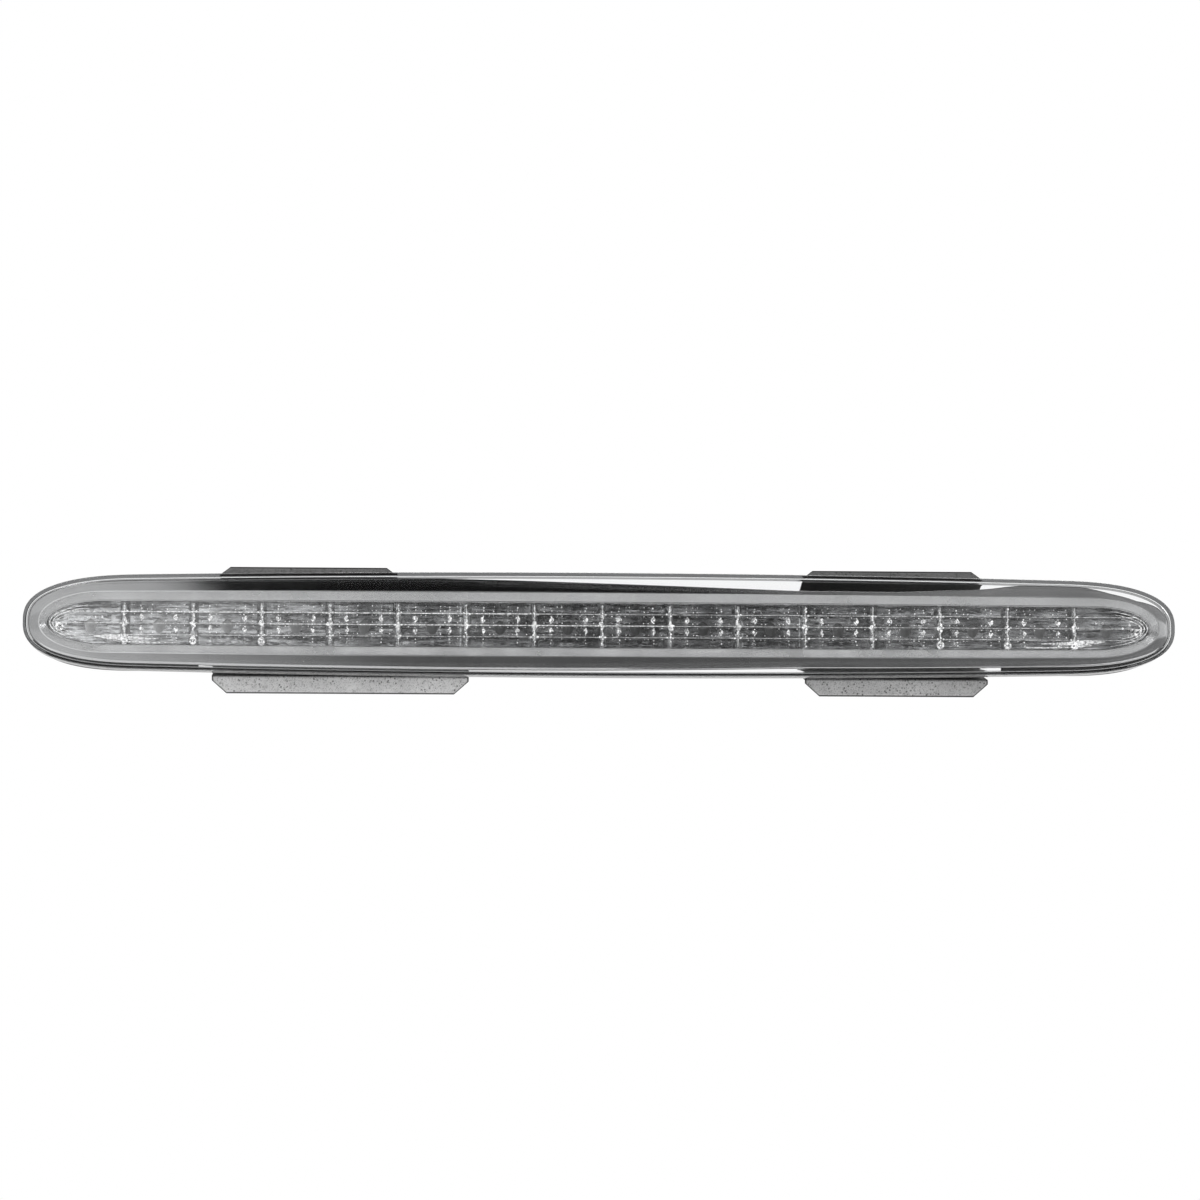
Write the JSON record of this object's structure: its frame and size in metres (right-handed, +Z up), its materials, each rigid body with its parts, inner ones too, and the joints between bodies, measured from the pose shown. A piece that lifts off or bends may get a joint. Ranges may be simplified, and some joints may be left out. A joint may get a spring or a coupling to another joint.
{
  "type": "third brake light",
  "caption": "Slim cigar-shaped LED high-level brake lamp with a clear cover, chromed frame and ribbed optic, held in a boot lid by sprung steel clips.",
  "frame": {"origin": "middle of the opening in the boot lid, on the plane of the lid's outer skin, where the end pads rest", "axes": "+X along the lamp to the right as seen from behind the car, +Z up, light leaves towards -Y and +Y points into the boot lid"},
  "size_m": [0.43, 0.046, 0.0477],
  "materials": {
    "clear_lens": "clear polished polycarbonate",
    "chrome": "vacuum metallised plastic, mirror bright",
    "clear_optic": "clear fluted polycarbonate",
    "black_plastic": "fine-grained moulded black",
    "black_foam": "closed-cell foam",
    "zinc_steel": "zinc-plated spring steel, speckled and lightly scratched",
    "board_green": "solder-resist coated board",
    "led_clear": "clear epoxy",
    "component_dark": "moulded component bodies",
    "tinned": "tin-plated terminals",
    "vent_grey": "moulded grey"
  },
  "bodies": {
    "lamp_body": {"outer_lens": "clear_lens", "chrome_bezel": "chrome", "optic_insert": "clear_optic", "reflector_tray": "chrome", "rear_housing": "black_plastic", "circuit_board": "board_green", "led_01": "led_clear", "led_02": "led_clear", "led_03": "led_clear", "led_04": "led_clear", "led_05": "led_clear", "led_06": "led_clear", "led_07": "led_clear", "led_08": "led_clear", "led_09": "led_clear", "led_10": "led_clear", "led_11": "led_clear", "led_12": "led_clear", "led_13": "led_clear", "led_14": "led_clear", "led_15": "led_clear", "led_16": "led_clear", "resistor_1": "component_dark", "resistor_2": "component_dark", "resistor_3": "component_dark", "resistor_4": "component_dark", "diode": "component_dark", "capacitor": "component_dark", "board_screw_1": "zinc_steel", "board_screw_2": "zinc_steel", "board_screw_3": "zinc_steel", "board_screw_4": "zinc_steel", "connector_socket": "black_plastic", "terminal_1": "tinned", "terminal_2": "tinned", "breather_vent": "vent_grey", "end_pad_left": "black_foam", "end_pad_right": "black_foam", "clip_left_base": "zinc_steel", "clip_right_base": "zinc_steel", "clip_screw_1": "zinc_steel", "clip_screw_2": "zinc_steel", "clip_screw_3": "zinc_steel", "clip_screw_4": "zinc_steel"},
    "clip_left_upper_leg": {"clip_left_upper_leg": "zinc_steel"},
    "clip_left_lower_leg": {"clip_left_lower_leg": "zinc_steel"},
    "clip_right_upper_leg": {"clip_right_upper_leg": "zinc_steel"},
    "clip_right_lower_leg": {"clip_right_lower_leg": "zinc_steel"}
  },
  "joints": [
    {"name": "clip_left_upper_flex", "type": "hinge", "parent": "lamp_body", "child": "clip_left_upper_leg", "pos_m": [-0.10975, 0.0266, 0.0143], "axis": [1, 0, 0], "range_deg": [0, 15], "stiffness_Nm_per_rad": 1.5},
    {"name": "clip_left_lower_flex", "type": "hinge", "parent": "lamp_body", "child": "clip_left_lower_leg", "pos_m": [-0.0976, 0.0266, -0.0143], "axis": [-1, 0, 0], "range_deg": [0, 15], "stiffness_Nm_per_rad": 1.5},
    {"name": "clip_right_upper_flex", "type": "hinge", "parent": "lamp_body", "child": "clip_right_upper_leg", "pos_m": [0.1104, 0.0266, 0.0143], "axis": [1, 0, 0], "range_deg": [0, 15], "stiffness_Nm_per_rad": 1.5},
    {"name": "clip_right_lower_flex", "type": "hinge", "parent": "lamp_body", "child": "clip_right_lower_leg", "pos_m": [0.11165, 0.0266, -0.0143], "axis": [-1, 0, 0], "range_deg": [0, 15], "stiffness_Nm_per_rad": 1.5}
  ]
}
